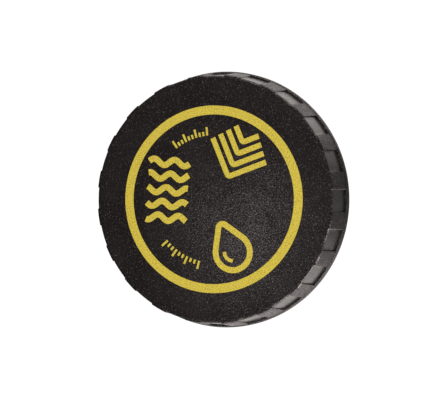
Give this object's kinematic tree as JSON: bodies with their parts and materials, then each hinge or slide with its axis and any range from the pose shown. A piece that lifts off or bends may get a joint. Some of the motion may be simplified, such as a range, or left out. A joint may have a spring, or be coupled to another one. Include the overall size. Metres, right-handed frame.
{
  "type": "coolant tank cap",
  "caption": "Screw-in coolant tank cap with a padded grip head, a threaded stem, a sealing nose and sprung relief and vacuum valves.",
  "frame": {"origin": "centre of the flat end of the nose, which the cap stands on", "axes": "+Z along the screw axis, from the nose to the printed face; +X and +Y across the face"},
  "size_m": [0.065, 0.065, 0.0384],
  "materials": {
    "grip_nylon": "black glass-filled nylon with a spark-eroded grain, smooth in the pockets, with a yellow print on the face",
    "stem_nylon": "satin black moulded nylon",
    "housing_nylon": "satin black moulded nylon",
    "valve_nylon": "natural moulded nylon",
    "seal_rubber": "soft black rubber",
    "spring_steel": "drawn stainless wire",
    "poppet_brass": "turned brass"
  },
  "bodies": {
    "root": {"grip_head": "grip_nylon", "lock_ring": "spring_steel", "screw_stem": "stem_nylon", "neck_gasket": "seal_rubber", "valve_housing": "housing_nylon", "lower_o_ring": "seal_rubber", "upper_o_ring": "seal_rubber", "housing_cover": "housing_nylon", "cover_seal": "seal_rubber", "relief_spring": "spring_steel"},
    "relief_valve": {"relief_plate": "valve_nylon", "relief_seal": "seal_rubber", "clamp_ring": "poppet_brass", "vacuum_spring": "spring_steel"},
    "vacuum_valve": {"vacuum_poppet": "poppet_brass", "spring_cap": "poppet_brass"}
  },
  "joints": [
    {"name": "relief_lift", "type": "slide", "parent": "root", "child": "relief_valve", "axis": [0, 0, 1], "range_m": [0, 0.0025], "stiffness_N_per_m": 3100, "springref_m": -0.0095, "deforming": ["relief_spring"]},
    {"name": "vacuum_open", "type": "slide", "parent": "relief_valve", "child": "vacuum_valve", "axis": [0, 0, -1], "range_m": [0, 0.0016], "stiffness_N_per_m": 450, "springref_m": -0.0012, "deforming": ["vacuum_spring"]}
  ]
}
